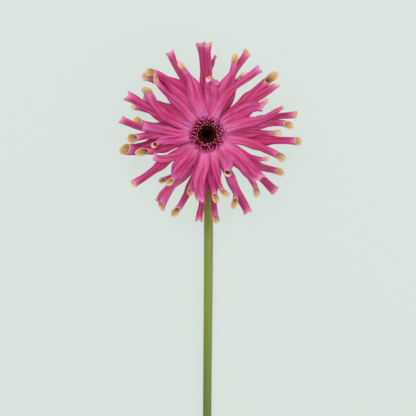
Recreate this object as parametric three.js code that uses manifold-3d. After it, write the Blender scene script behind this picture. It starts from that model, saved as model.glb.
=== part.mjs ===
// A cut gerbera of the rolled-petal kind, lying on its back with its bloom facing up.
// Millimetres, +Z up. The stem lies along -Y and the bloom's tubular ray florets spread round the disc.
import * as THREE from "three";
import { mergeVertices } from "three/addons/utils/BufferGeometryUtils.js";
import Module from "manifold-3d";

const wasm = await Module();
wasm.setup();

// Driving dimensions
const STEM_LENGTH = 400; // from under the disc to the cut end
const NECK_RADIUS = 2.9;
const STEM_MIDDLE_RADIUS = 2.6;
const STEM_CUT_RADIUS = 2.85;
const NECK_BEND = 11.5; // radius of the bend between the head and the lying stem
const STEM_SIDES = 12;
const SEAT_GAP = 0.3; // between pieces that grow into each other
const CUP_HEIGHT = 10.1;
const COLLAR_HEIGHT = 5.6;
const COLLAR_INNER = 6.2;
const COLLAR_OUTER = 10.2;
const ROOT_RADIUS = 8; // where the ray florets start, inside the collar
const SHEET = 0.6; // thickness of a ray floret

// Heights above the surface that the flower lies on
const CUP_BOTTOM = NECK_RADIUS + NECK_BEND + SEAT_GAP;
const COLLAR_BOTTOM = CUP_BOTTOM + CUP_HEIGHT + SEAT_GAP;
const DISC_BOTTOM = COLLAR_BOTTOM + COLLAR_HEIGHT + SEAT_GAP;

// The three whorls of ray florets, from the outermost at the back to the innermost in front.
// front is the height of the floret's face at its root, above the collar's underside.
const WHORLS = [
  { front: 1.3, rise: -5, tipHeight: 17, tipPitch: -22 },
  { front: 3.0, rise: 3, tipHeight: 24.5, tipPitch: -10 },
  { front: 4.7, rise: 9, tipHeight: 31, tipPitch: -4 },
];
const NEIGHBOUR_STEP = 0.85; // every second floret of a whorl starts this much nearer its front

// How a ray floret ends. roll is the angle of the sheet's arc at the tip in radians, wide a factor
// on its width there, rolls how much of the rolling it has at all, starts the share of the length
// where the end begins to differ from the tube, seam how far the tube's seam is turned from its back,
// and cut gives how much shorter the sheet is at u (-1 to 1 across) and at the angle phi round the
// tube from its face.
const ROLLED = 6.1;
const oblique = (u, phi, mouth) => (mouth * (1 + Math.cos(phi))) / 2;
const straight = (u, phi, mouth) => 0.3 * oblique(u, phi, mouth);
const notched = (u, phi, mouth) =>
  Math.abs(u) < 0.6 ? mouth * 0.5 * (1 - Math.abs(u) / 0.6) : mouth * 0.7 * (Math.abs(u) - 0.6);
const torn = (u, phi, mouth) => Math.abs(mouth) * (0.28 * (0.6 - Math.sign(mouth) * u) + 0.1);
const ENDS = {
  spoon: { roll: ROLLED, wide: 1, rolls: 1, starts: 0.84, seam: 75, cut: oblique },
  pointed: { roll: ROLLED, wide: 0.55, rolls: 1, starts: 0.84, seam: 75, cut: oblique },
  square: { roll: 5.6, wide: 1, rolls: 1, starts: 0.84, seam: 0, cut: straight },
  forked: { roll: 4.6, wide: 0.85, rolls: 0.9, starts: 0.7, seam: 0, cut: notched },
  blunt: { roll: 2.7, wide: 0.6, rolls: 0.55, starts: 0.66, seam: 0, cut: torn },
};

// The ray florets, clockwise from the top. root is the angle at the disc, tip the place of the tip and
// heading its direction, in the bloom's own plane. body is the widest stretch, tube the diameter once
// rolled, roll the share of the length where rolling starts, mouth the length of the open end (a blunt
// end is longer on its other side where it is below 0), turn its angle round the tube, flare a factor
// on the end's width, pitch and height those of the tip, and rests marks a tip that reaches down to the
// surface.
const OUTER = 0;
const MIDDLE = 1;
const INNER = 2;
const RESTING_TIP = { height: 4, pitch: -30, mouth: 8 };
function ray(root, tip, heading, whorl, end, own = {}) {
  const usual = { tube: 4.2, mouth: 5, turn: 0, body: 8, roll: 0.4, flare: 1 };
  return { ...usual, ...(own.rests && RESTING_TIP), root, tip, heading, whorl, end, ...own };
}
const RAYS = [
  ray(88, [0.7, 56.5], 88, MIDDLE, "spoon", { tube: 3.9, mouth: 3.6, turn: 35, roll: 0.3 }),
  ray(90, [5.3, 48.2], 58, OUTER, "pointed", { tube: 2.6, mouth: 1.5, body: 4.2, height: 19, roll: 0.3 }),
  ray(84, [1.6, 34], 112, INNER, "spoon", { tube: 4.4, mouth: 2.4, roll: 0.68, body: 11 }),
  ray(71, [17.2, 49], 82, MIDDLE, "spoon", { tube: 3.6, mouth: 7, body: 10.5, roll: 0.5 }),
  ray(66, [26.1, 51.1], 51, OUTER, "spoon", { tube: 4.2, mouth: 3.5, turn: -25, flare: 1.2, height: 20 }),
  ray(56, [25, 38.6], 38, OUTER, "spoon", { tube: 3, mouth: 8, body: 6, height: 24 }),
  ray(67, [31.7, 39.6], 32, INNER, "forked", { tube: 3.4, mouth: 2, body: 5.8, flare: 1.05, roll: 0.32 }),
  ray(43, [42.7, 38.5], 45, MIDDLE, "spoon", { tube: 5.2, mouth: 8, body: 6.9, roll: 0.36 }),
  ray(38, [43.3, 29.9], 22, OUTER, "pointed", { tube: 4.8, mouth: 4, turn: 30, height: 22 }),
  ray(30, [37.6, 23.4], 44, OUTER, "spoon", { tube: 2.8, rests: true, mouth: 7 }),
  ray(36, [34.9, 16.2], -6, INNER, "blunt", { tube: 4.5, body: 9 }),
  ray(16.4, [45.5, 16.6], 34, INNER, "pointed", { tube: 3.6, mouth: 1.5, body: 6.3, height: 28 }),
  ray(12, [55.5, 12.5], 4, OUTER, "spoon", { tube: 4, mouth: 3.4, turn: -20, body: 6.5, height: 21 }),
  ray(9, [52.4, 4.4], -22, MIDDLE, "spoon", { tube: 4.2, mouth: 5.6, body: 5.4 }),
  ray(3, [45.3, 0.9], -3, MIDDLE, "spoon", { tube: 3.3, mouth: 6.5, height: 24 }),
  ray(-4, [58.1, -3.7], 4, OUTER, "spoon", { tube: 4.7, mouth: 5.2, height: 20 }),
  ray(-13, [46.8, -15.4], -36, MIDDLE, "spoon", { tube: 4.3, mouth: 6.5, body: 6.2, roll: 0.36 }),
  ray(-31, [37.5, -14.5], 2, INNER, "spoon", { tube: 2.5, mouth: 3.8, body: 5, height: 26 }),
  ray(-32, [48.2, -22.8], -7, OUTER, "spoon", { tube: 4.3, mouth: 7.5, rests: true }),
  ray(-33, [32.3, -27.8], -45, INNER, "blunt", { tube: 6.5, body: 10 }),
  ray(-40, [41.3, -34], -42, OUTER, "square", { tube: 4.8, mouth: 2, height: 18 }),
  ray(-41, [30.2, -37.5], -84, MIDDLE, "spoon", { tube: 3.5, mouth: 6, body: 9, roll: 0.26 }),
  ray(-55, [11.7, -24.8], -112, INNER, "spoon", { tube: 4.2, mouth: 2.2, pitch: 14, height: 33, roll: 0.6 }),
  ray(-56, [15.3, -45], -109, MIDDLE, "spoon", { tube: 3.4, mouth: 6.2, body: 5.4 }),
  ray(-64, [24.4, -46.6], -65, OUTER, "forked", { tube: 4.5, mouth: 2.4, body: 6.2, flare: 0.8, height: 16 }),
  ray(-70, [13, -36.5], -30, INNER, "spoon", { tube: 3.1, body: 5.6, height: 27 }),
  ray(-81, [5.8, -41.8], -72, MIDDLE, "spoon", { tube: 3.6, mouth: 7, body: 7, turn: -15 }),
  ray(-85, [5.6, -54], -84, OUTER, "spoon", { tube: 3.7, mouth: 6.8, height: 16 }),
  ray(-94, [-5.2, -52.4], -97, OUTER, "forked", { tube: 3.2, mouth: 5, height: 16 }),
  ray(-97, [-3.8, -42.3], -78, INNER, "blunt", { mouth: 9 }),
  ray(-107, [-10.7, -37.2], -98, MIDDLE, "spoon", { tube: 3, mouth: 5, body: 6 }),
  ray(-102, [-21.8, -49.8], -124, OUTER, "spoon", { tube: 4, mouth: 7, height: 17, body: 5.6 }),
  ray(-120, [-29.3, -45.2], -114, MIDDLE, "spoon", { tube: 4.8, mouth: 5.4, turn: -40, height: 21, body: 9.4 }),
  ray(-126, [-30.8, -40], -128, OUTER, "pointed", { tube: 3.6, mouth: 1.5, height: 19 }),
  ray(-131, [-24.5, -30.6], -134, INNER, "spoon", { tube: 3.3, mouth: 5.4, roll: 0.6, body: 10.4 }),
  ray(-136, [-31, -27.5], 178, OUTER, "spoon", { tube: 3.1, mouth: 5.4, rests: true }),
  ray(-148, [-45.7, -30.6], -146, MIDDLE, "spoon", { tube: 4.6, mouth: 3.4, height: 22, body: 6 }),
  ray(-145, [-33.1, -12.4], 143, INNER, "blunt", { tube: 3.2, flare: 1.15, mouth: -4.5, body: 4.6 }),
  ray(-166, [-44, -11], 184, MIDDLE, "spoon", { tube: 4.4, mouth: 6.6, body: 5.8, height: 27 }),
  ray(-170, [-54.8, -7.9], 172, OUTER, "spoon", { tube: 6.8, mouth: 7, turn: -10, height: 18, body: 8 }),
  ray(-172, [-32.6, -6.5], 216, INNER, "spoon", { tube: 3.6, mouth: 2.2, pitch: 34, roll: 0.6, body: 6 }),
  ray(180, [-48.8, -3.3], 200, MIDDLE, "spoon", { tube: 4.7, mouth: 6.4, body: 6 }),
  ray(173, [-38.6, 5.6], 165, INNER, "spoon", { tube: 5, mouth: 0.8, body: 6 }),
  ray(167.5, [-52.7, 9.8], 147, MIDDLE, "square", { tube: 4, mouth: 4, height: 22, body: 7.2 }),
  ray(169, [-45.3, 10.3], 152, OUTER, "spoon", { tube: 4.2, mouth: 7.4, height: 20, body: 4.4 }),
  ray(158, [-47.5, 18.5], 162, OUTER, "spoon", { tube: 3, mouth: 6, rests: true }),
  ray(160, [-49, 23.8], 153, MIDDLE, "forked", { tube: 4.4, mouth: 4.5, height: 23 }),
  ray(148, [-39.2, 21.9], 160, MIDDLE, "square", { tube: 5, mouth: 3, height: 25 }),
  ray(160, [-37.1, 29.2], 108, INNER, "spoon", { tube: 5.1, mouth: 6, turn: -20, height: 27, body: 5.5 }),
  ray(135, [-33.1, 35.7], 127, INNER, "spoon", { tube: 3.4, mouth: 6.5, turn: 50, body: 6.4 }),
  ray(138, [-40.7, 35.8], 174, OUTER, "spoon", { tube: 4.8, mouth: 8, body: 6, height: 21 }),
  ray(113, [-37.6, 38.2], 166, MIDDLE, "spoon", { tube: 4.4, mouth: 6, body: 12, roll: 0.48 }),
  ray(110, [-22.8, 49.9], 116, MIDDLE, "forked", { tube: 3.3, mouth: 2, flare: 1.1, body: 7.6 }),
  ray(104, [-17.5, 43.6], 129, INNER, "spoon", { tube: 2.5, mouth: 7, body: 8.5, roll: 0.52 }),
  ray(92, [-4, 55.8], 98, OUTER, "forked", { tube: 3.4, mouth: 2.5, body: 6.4, flare: 1.3, height: 22 }),
];

// Stations along a ray floret and columns across it
const STATIONS = [0, 0.3, 0.54, 0.76, 1];
const COLUMNS = [-1, -0.6, -0.2, 0.2, 0.6, 1];
const ROOT_WIDTH = 3;
const ROOT_ROLL = 1.6; // the sheet's arc at the root and over the flat body, in radians
const BODY_ROLL = 1.4;
const WIDEST_AT = 0.36; // the share of the length where the body is widest,
const ROLLING_LASTS = 0.25; // and the share over which the sheet rolls up
const BEZIER_HANDLE = 0.4;

const radians = THREE.MathUtils.degToRad;
const lerp = THREE.MathUtils.lerp;
const smooth = THREE.MathUtils.smoothstep;
const UP = new THREE.Vector3(0, 0, 1);

function direction(heading, pitch) {
  const flat = Math.cos(radians(pitch));
  const angle = radians(heading);
  return new THREE.Vector3(Math.cos(angle) * flat, Math.sin(angle) * flat, Math.sin(radians(pitch)));
}

// A closed geometry from points and faces given as lists of corners, anticlockwise from outside.
function closedGeometry(points, faces) {
  const geometry = new THREE.BufferGeometry().setFromPoints(points);
  const index = faces.flatMap((f) => f.slice(2).flatMap((corner, i) => [f[0], f[i + 1], corner]));
  return geometry.setIndex(index);
}

// A closed skin over rings of points, each anticlockwise as seen from the last ring.
function loft(rings) {
  const sides = rings[0].length;
  const at = (ring, i) => ring * sides + (i % sides);
  const faces = [];
  for (let r = 0; r + 1 < rings.length; r++)
    for (let i = 0; i < sides; i++)
      faces.push([at(r, i), at(r, i + 1), at(r + 1, i + 1), at(r + 1, i)]);
  const first = rings[0].map((_, i) => i);
  faces.push(first.toReversed(), first.map((i) => i + (rings.length - 1) * sides));
  return closedGeometry(rings.flat(), faces);
}

function solidOf(geometry) {
  const bare = geometry.clone();
  bare.deleteAttribute("normal");
  bare.deleteAttribute("uv");
  const merged = mergeVertices(bare, 1e-4);
  const mesh = new wasm.Mesh({
    numProp: 3,
    vertProperties: merged.attributes.position.array,
    triVerts: new Uint32Array(merged.index.array),
  });
  return new wasm.Manifold(mesh);
}

function geometryOf(solid) {
  const mesh = solid.getMesh();
  return new THREE.BufferGeometry()
    .setAttribute("position", new THREE.BufferAttribute(mesh.vertProperties, 3))
    .setIndex(new THREE.BufferAttribute(mesh.triVerts, 1));
}

const joined = (geometries) => wasm.Manifold.union(geometries.map(solidOf));

const placeInWhorl = (ray) => RAYS.filter((other) => other.whorl === ray.whorl).indexOf(ray);

// One ray floret: a sheet on a curved centreline, nearly flat over its body and rolled back into a
// tube towards its tip, with the seam on its underside.
function rayFloret(ray, lift) {
  const whorl = WHORLS[ray.whorl];
  const end = ENDS[ray.end];
  const radius = ray.tube / 2;
  const axisDrop = radius; // the centreline runs this far behind the floret's face
  const step = placeInWhorl(ray) % 2 ? NEIGHBOUR_STEP : 0;
  const rootHeight = COLLAR_BOTTOM + whorl.front + step - axisDrop;
  const root = direction(ray.root, 0).multiplyScalar(ROOT_RADIUS).setZ(rootHeight);
  const tip = new THREE.Vector3(...ray.tip, (ray.height ?? whorl.tipHeight + step) + lift - axisDrop);
  const handle = BEZIER_HANDLE * root.distanceTo(tip);
  const curve = new THREE.CubicBezierCurve3(
    root,
    direction(ray.root, whorl.rise).multiplyScalar(handle).add(root).addScaledVector(UP, lift),
    direction(ray.heading, ray.pitch ?? whorl.tipPitch).multiplyScalar(-handle).add(tip),
    tip,
  );
  const length = curve.getLength();
  const rolledWidth = radius * ROLLED;
  const seam = radians(end.seam) * (step ? 1 : -1);
  const rolledShare = (s) => smooth(s, ray.roll, ray.roll + ROLLING_LASTS) * end.rolls;

  function section(s) {
    const closing = rolledShare(s);
    const opening = smooth(s, end.starts, 1);
    const flat = lerp(ROOT_WIDTH, ray.body, smooth(s, 0, WIDEST_AT));
    const endWidth = rolledWidth * end.wide * ray.flare;
    const width = lerp(lerp(flat, rolledWidth, closing), endWidth, opening);
    const open = lerp(ROOT_ROLL, BODY_ROLL, smooth(s, 0, WIDEST_AT));
    const roll = lerp(lerp(open, ROLLED, closing), end.roll, opening);
    return { radius: Math.max(width / roll, SHEET + 0.2), roll };
  }

  function pointsAt(station, u) {
    const last = section(1);
    const cut = end.cut(u, (u * last.roll) / 2 + seam, ray.mouth) / length;
    const s = THREE.MathUtils.clamp(station - cut * station ** 5, 0, 1);
    const { radius: bend, roll } = section(s);
    const forward = curve.getTangentAt(s);
    const side = UP.clone().cross(forward).normalize();
    const face = forward.clone().cross(side);
    const phi = (u * roll) / 2 + seam * rolledShare(s) + radians(ray.turn) * smooth(s, 0.5, 1);
    const centre = curve.getPointAt(s).addScaledVector(face, axisDrop - bend);
    const outward = side.multiplyScalar(Math.sin(phi)).addScaledVector(face, Math.cos(phi));
    return [bend, bend - SHEET].map((r) => centre.clone().addScaledVector(outward, r));
  }

  const points = STATIONS.flatMap((station) => COLUMNS.flatMap((u) => pointsAt(station, u)));
  if (ray.rests) {
    const lowest = Math.min(...points.map((p) => p.z));
    points.forEach((p) => (p.z = rootHeight + ((p.z - rootHeight) * rootHeight) / (rootHeight - lowest)));
  }
  const columns = COLUMNS.length;
  const outer = (j, i) => 2 * (j * columns + i);
  const inner = (j, i) => outer(j, i) + 1;
  const faces = [];
  const lastRow = STATIONS.length - 1;
  for (let j = 0; j < lastRow; j++) {
    for (let i = 0; i + 1 < columns; i++) {
      faces.push([outer(j, i), outer(j + 1, i), outer(j + 1, i + 1), outer(j, i + 1)]);
      faces.push([inner(j, i), inner(j, i + 1), inner(j + 1, i + 1), inner(j + 1, i)]);
    }
    faces.push([outer(j, 0), inner(j, 0), inner(j + 1, 0), outer(j + 1, 0)]);
    const edge = columns - 1;
    faces.push([outer(j, edge), outer(j + 1, edge), inner(j + 1, edge), inner(j, edge)]);
  }
  for (let i = 0; i + 1 < columns; i++) {
    faces.push([outer(0, i), outer(0, i + 1), inner(0, i + 1), inner(0, i)]);
    faces.push([outer(lastRow, i), inner(lastRow, i), inner(lastRow, i + 1), outer(lastRow, i + 1)]);
  }
  return closedGeometry(points, faces);
}

// The florets laid one over another from the back whorl forward, each lifted clear of those under it.
const LIFTS = [0, 0.6, 1.2, 1.8, 2.4, 3];
const CLEAR_VOLUME = 0.05;
function rayFlorets() {
  const laid = [];
  for (const ray of RAYS.toSorted((a, b) => a.whorl - b.whorl)) {
    let best = null;
    for (const lift of LIFTS) {
      const solid = solidOf(rayFloret(ray, lift));
      const crossed = laid.reduce((sum, under) => sum + solid.intersect(under).volume(), 0);
      if (!best || crossed < 0.7 * best.crossed) best = { solid, crossed };
      if (crossed < CLEAR_VOLUME) break;
    }
    laid.push(best.solid);
  }
  return laid;
}

// A ring with a flat underside and top, from a profile turned round the bloom's axis.
function turned(profile, sides) {
  const points = profile.map(([r, z]) => new THREE.Vector2(r, z));
  return new THREE.LatheGeometry(points, sides).rotateX(Math.PI / 2);
}

function collar() {
  const top = COLLAR_BOTTOM + COLLAR_HEIGHT;
  return turned(
    [
      [COLLAR_INNER, COLLAR_BOTTOM],
      [COLLAR_OUTER - 1, COLLAR_BOTTOM],
      [COLLAR_OUTER, COLLAR_BOTTOM + 1.5],
      [COLLAR_OUTER - 1, top],
      [COLLAR_INNER, top],
      [COLLAR_INNER, COLLAR_BOTTOM],
    ],
    16,
  );
}

// A small floret, bud or lobe: a tapering three-sided prism that leans away from the bloom's axis.
function spike({ angle, radius, base, lean, length, thick, tip }) {
  const outward = direction(angle, 0);
  const along = outward.clone().multiplyScalar(Math.sin(radians(lean))).setZ(Math.cos(radians(lean)));
  const across = new THREE.Vector3(-outward.y, outward.x, 0);
  const back = along.clone().cross(across);
  const foot = outward.clone().multiplyScalar(radius).setZ(base);
  const ring = (distance, half) =>
    [0, 1, 2].map((k) => {
      const turn = (k * 2 * Math.PI) / 3;
      return foot
        .clone()
        .addScaledVector(along, distance)
        .addScaledVector(across, half * Math.cos(turn))
        .addScaledVector(back, half * Math.sin(turn));
    });
  return loft([ring(-0.9, thick), ring(length * 0.55, thick), ring(length, tip)]);
}

// Florets spread over a ring between two radii by the golden angle, each row leaning a little more.
const GOLDEN_ANGLE = 180 * (3 - Math.sqrt(5));
function spread({ count, from, to, base, make }) {
  return Array.from({ length: count }, (_, k) => {
    const share = (k + 0.5) / count;
    const radius = Math.sqrt(lerp(from ** 2, to ** 2, share));
    return spike({ angle: (k * GOLDEN_ANGLE) % 360, radius, base: base(radius), ...make(share, k) });
  });
}

// The unopened dark buds, packed over a low dome in the middle of the disc
const BUD_DISC_RADIUS = 4.9;
const BUD_DISC_TOP = DISC_BOTTOM + 2.4;
function discBuds() {
  const core = turned(
    [
      [0, DISC_BOTTOM],
      [BUD_DISC_RADIUS, DISC_BOTTOM],
      [BUD_DISC_RADIUS, BUD_DISC_TOP - 0.5],
      [BUD_DISC_RADIUS - 2, BUD_DISC_TOP - 0.2],
      [0, BUD_DISC_TOP - 0.6],
    ],
    18,
  );
  const buds = spread({
    count: 42,
    from: 0,
    to: BUD_DISC_RADIUS - 0.5,
    base: (r) => BUD_DISC_TOP - 0.6 + 0.2 * Math.sin((Math.PI * r) / BUD_DISC_RADIUS),
    make: (share) => ({ lean: -6 + 10 * share, length: 1.3 + 0.5 * share, thick: 0.68, tip: 0.25 }),
  });
  return joined([core, ...buds]);
}

// The open disc florets round the buds, with their pollen tips
const OPEN_INNER = BUD_DISC_RADIUS + SEAT_GAP;
const OPEN_OUTER = 6.9;
function openDiscFlorets() {
  const top = DISC_BOTTOM + 1.9;
  const core = turned(
    [
      [OPEN_INNER, DISC_BOTTOM],
      [OPEN_OUTER, DISC_BOTTOM],
      [OPEN_OUTER, top],
      [OPEN_INNER, top],
      [OPEN_INNER, DISC_BOTTOM],
    ],
    24,
  );
  const florets = spread({
    count: 36,
    from: OPEN_INNER + 0.45,
    to: OPEN_OUTER - 0.45,
    base: () => top,
    make: (share) => ({ lean: 8 * share, length: 2, thick: 0.58, tip: 0.3 }),
  });
  return joined([core, ...florets]);
}

// The small strap-lobed florets that ring the disc and lean out over the rays
const TRANS_INNER = OPEN_OUTER + SEAT_GAP;
const TRANS_OUTER = 9.4;
function transFlorets() {
  const top = DISC_BOTTOM + 1.4;
  const core = turned(
    [
      [TRANS_INNER, DISC_BOTTOM],
      [TRANS_OUTER - 0.4, DISC_BOTTOM],
      [TRANS_OUTER, DISC_BOTTOM + 0.6],
      [TRANS_OUTER - 0.3, top],
      [TRANS_INNER, top],
      [TRANS_INNER, DISC_BOTTOM],
    ],
    30,
  );
  const florets = spread({
    count: 76,
    from: TRANS_INNER + 0.5,
    to: TRANS_OUTER - 0.5,
    base: () => top - 0.1,
    make: (share, k) => ({
      lean: 6 + 46 * share,
      length: 1.9 + 0.9 * share + 0.25 * Math.sin(k * 2.4),
      thick: 0.52,
      tip: 0.28,
    }),
  });
  return joined([core, ...florets]);
}

// The green cup under the bloom, with two rows of narrow bracts lying against it
const BRACT_ROWS = [
  { count: 11, turn: 0, foot: [5.4, 2.2], tip: [10.9, 7.2], half: 1.7 },
  { count: 12, turn: 14, foot: [7.6, 4.2], tip: [12.7, 9.4], half: 2 },
];
function involucre() {
  const profile = [
    [0, 0],
    [NECK_RADIUS + 0.4, 0],
    [4.6, 0.9],
    [7.2, 3.2],
    [8.9, 6.2],
    [9.8, CUP_HEIGHT],
    [0, CUP_HEIGHT],
  ];
  const cup = turned(
    profile.map(([r, z]) => [r, CUP_BOTTOM + z]),
    16,
  );
  const bracts = BRACT_ROWS.flatMap((row) =>
    Array.from({ length: row.count }, (_, k) => bract(row, row.turn + (k * 360) / row.count)),
  );
  return joined([cup, ...bracts]);
}

function bract({ foot, tip, half }, angle) {
  const outward = direction(angle, 0);
  const across = new THREE.Vector3(-outward.y, outward.x, 0);
  const start = outward.clone().multiplyScalar(foot[0] - 1.2).setZ(CUP_BOTTOM + foot[1] - 0.4);
  const finish = outward.clone().multiplyScalar(tip[0]).setZ(CUP_BOTTOM + tip[1]);
  const bulge = outward.clone().setZ(-1).normalize();
  const ring = (share, width, thick) => {
    const centre = start.clone().lerp(finish, share).addScaledVector(bulge, 0.9 * Math.sin(Math.PI * share));
    return [
      centre.clone().addScaledVector(across, width),
      centre.clone().addScaledVector(bulge, -thick),
      centre.clone().addScaledVector(across, -width),
      centre.clone().addScaledVector(bulge, thick),
    ];
  };
  return loft([ring(0, half, 0.45), ring(0.6, half, 0.5), ring(1, 0.25, 0.3)]);
}

// The stem: straight down from the cup, round the neck's bend and along the surface to the cut
const NECK_STEPS = 6;
const LYING_STEPS = 14;
function stemStations() {
  const bend = Array.from({ length: NECK_STEPS + 1 }, (_, k) => {
    const turn = ((k / NECK_STEPS) * Math.PI) / 2;
    return {
      y: -NECK_BEND * (1 - Math.cos(turn)),
      z: NECK_RADIUS + NECK_BEND * (1 - Math.sin(turn)),
      tilt: turn,
      radius: NECK_RADIUS,
    };
  });
  const lying = Array.from({ length: LYING_STEPS }, (_, k) => {
    const share = (k + 1) / LYING_STEPS;
    const slim = lerp(NECK_RADIUS, STEM_MIDDLE_RADIUS, smooth(share, 0, 0.45));
    const radius = lerp(slim, STEM_CUT_RADIUS, smooth(share, 0.6, 1));
    return { y: lerp(-NECK_BEND, -STEM_LENGTH, share), z: radius, tilt: Math.PI / 2, radius };
  });
  return [...bend, ...lying];
}

// The stem's slight sideways sweep, as a distance from the bloom's axis at y
const sweep = (y) => 1.15 * Math.sin((Math.PI * Math.min(-y, STEM_LENGTH)) / 150) * Math.exp(y / 130);

function stem() {
  const rings = stemStations().map(({ y, z, tilt, radius }) => {
    const ahead = new THREE.Vector3(0, -Math.sin(tilt), -Math.cos(tilt));
    const side = new THREE.Vector3(1, 0, 0);
    const over = ahead.clone().cross(side);
    const reach = radius / Math.cos(Math.PI / STEM_SIDES); // flats, not corners, lie at the radius
    return Array.from({ length: STEM_SIDES }, (_, i) => {
      const turn = ((i + 0.5) * 2 * Math.PI) / STEM_SIDES;
      return new THREE.Vector3(sweep(y), y, z)
        .addScaledVector(side, reach * Math.cos(turn))
        .addScaledVector(over, reach * Math.sin(turn));
    });
  });
  return loft(rings);
}

const COLOURS = {
  ray: { color: 0xcf3f85, roughness: 0.55 },
  trans: { color: 0xa0307a, roughness: 0.6 },
  open: { color: 0xd9a374, roughness: 0.6 },
  bud: { color: 0x1d070b, roughness: 0.7 },
  cup: { color: 0x6f8a3c, roughness: 0.7 },
  stem: { color: 0x839344, roughness: 0.6 },
};

function named(name, geometry, look) {
  const material = new THREE.MeshStandardMaterial({ ...COLOURS[look], metalness: 0 });
  const mesh = new THREE.Mesh(geometry, material);
  mesh.name = name;
  return mesh;
}

const bloom = new THREE.Group();
bloom.add(
  named("ray_florets", geometryOf(wasm.Manifold.union([solidOf(collar()), ...rayFlorets()])), "ray"),
  named("trans_florets", geometryOf(transFlorets()), "trans"),
  named("open_disc_florets", geometryOf(openDiscFlorets()), "open"),
  named("disc_buds", geometryOf(discBuds()), "bud"),
  named("involucre", geometryOf(involucre()), "cup"),
);

const flower = new THREE.Group();
flower.add(bloom, named("stem", stem(), "stem"));

// The part's origin is the middle of its footprint, on the surface.
const footprint = new THREE.Box3().setFromObject(flower);
const middle = footprint.getCenter(new THREE.Vector3());
const part = new THREE.Group();
part.add(flower);
flower.position.set(-middle.x, -middle.y, 0);

export default part;
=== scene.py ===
"""A cut gerbera with rolled, tube-like ray florets, dressed for a look from straight above."""

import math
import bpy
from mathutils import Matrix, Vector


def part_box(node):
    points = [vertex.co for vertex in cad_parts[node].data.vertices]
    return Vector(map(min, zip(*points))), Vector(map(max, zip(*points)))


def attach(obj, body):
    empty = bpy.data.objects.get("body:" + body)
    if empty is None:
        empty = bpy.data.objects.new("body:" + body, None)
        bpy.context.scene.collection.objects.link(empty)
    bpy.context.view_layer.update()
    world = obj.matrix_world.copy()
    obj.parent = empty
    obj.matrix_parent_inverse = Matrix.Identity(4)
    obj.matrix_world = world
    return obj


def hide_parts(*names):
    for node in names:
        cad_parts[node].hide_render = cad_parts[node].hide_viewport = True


bl_info = {
    "name": "Rolled gerbera",
    "version": (1, 0, 0),
    "blender": (4, 5, 0),
    "location": "View3D > Sidebar > Gerbera",
    "description": "Builds the florets, cup, stem and stage of a cut gerbera round its frame",
    "category": "Add Mesh",
}

import bpy
import numpy as np
from mathutils import Vector
from mathutils.bvhtree import BVHTree

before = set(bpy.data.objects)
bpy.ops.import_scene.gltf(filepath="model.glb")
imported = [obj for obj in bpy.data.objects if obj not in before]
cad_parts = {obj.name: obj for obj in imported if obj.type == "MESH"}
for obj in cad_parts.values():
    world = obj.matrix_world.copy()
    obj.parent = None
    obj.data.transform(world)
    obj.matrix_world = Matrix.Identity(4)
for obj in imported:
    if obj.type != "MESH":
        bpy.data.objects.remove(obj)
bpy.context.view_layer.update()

MM = 0.001

# Places that follow the frame: the bloom's axis, and the heights of its parts above the surface.
# All the lengths below are millimetres, and positions count from the bloom's axis on the surface.
DISC_LOW, DISC_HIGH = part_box("disc_buds")
CUP_LOW, CUP_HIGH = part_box("involucre")
STEM_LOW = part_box("stem")[0]
AXIS = ((DISC_LOW[0] + DISC_HIGH[0]) / 2, (DISC_LOW[1] + DISC_HIGH[1]) / 2)
SEAT_GAP = 0.3
CUP_BOTTOM = CUP_LOW[2] / MM
CUP_TOP = CUP_HIGH[2] / MM
COLLAR_BOTTOM = CUP_TOP + SEAT_GAP
DISC_BOTTOM = DISC_LOW[2] / MM

# The ray florets' three whorls, from the outermost at the back to the innermost in front
OUTER, MIDDLE, INNER = 0, 1, 2
WHORL_NAMES = ("outer", "middle", "inner")
WHORLS = (
    {"front": 1.3, "rise": -5, "tip_height": 17, "tip_pitch": -22},
    {"front": 3.0, "rise": 3, "tip_height": 24.5, "tip_pitch": -10},
    {"front": 4.7, "rise": 9, "tip_height": 31, "tip_pitch": -4},
)
NEIGHBOUR_STEP = 0.85
ROOT_RADIUS = 8
ROOT_WIDTH = 4.4
BEZIER_HANDLE = 0.4

# The strap's arc from its middle to its edge, in radians, and how far the bend keeps to its edges
ROOT_ARC = 0.9
BODY_ARC = 2.1
BODY_EDGE_BEND = 2.6
TUBE_ARC = 3.3
WIDEST_AT = 0.36
ROLLING_LASTS = 0.25

# The strap's small forms: how far it sways to its sides, how much its tube swells, how deep its
# lengthwise folds, its waving edges and its crease are, the crease's width as a share of the strap,
# the lip that turns out along the mouth, and how far one edge of the tube tucks under the other
SWAY = 0.5
SWELLING = 0.07
FOLD_DEPTH = 0.15
WAVE_DEPTH = 0.3
CREASE_DEPTH = 0.5
CREASE_WIDTH = 0.11
LIP_HEIGHT = 0.3
LIP_LENGTH = 1.6
TUCK_DEPTH = 0.5

# How much of its folds the strap loses where it is rolled, the steps that measure its length, and
# the places that sum its bend
FOLDS_LOST = 0.7
CURVE_STEPS = 90
SUMMING_PLACES = 12

# The ends' cuts, as shares of the mouth's length: a square end keeps this much of a slanting cut, a
# notch reaches half across the end and leaves two points, and a torn end slants, frays and is cut
SQUARE_CUT = 0.3
NOTCH_HALF_WIDTH = 0.5
NOTCH_DEPTH = 0.4
NOTCH_SIDES = 0.8
TORN_SLANT = 0.45
TORN_FRAY = 0.09
TORN_CUT = 0.1

# Each floret has a number from 0 to 1, by which its waves and its tint differ, and it steps by this
SEED_STEP = 0.618034

# How far a floret may be lifted clear of those under it, and what share of the faces that cross
# may be left for a higher lift to be worth taking
LIFTS = (0, 0.5, 1, 1.5, 2, 2.5, 3)
WORTH_A_LIFT = 0.7

# A floret that starts beyond the disc is a fold, and its root lies this far under its tip
FOLD_ROOT_DROP = 1

# What the petal's material reads from its points
PETAL_MARKS = (
    "share", "across", "inside", "to_end", "seed", "mouth", "gilt", "deep", "under", "crease",
)

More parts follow.
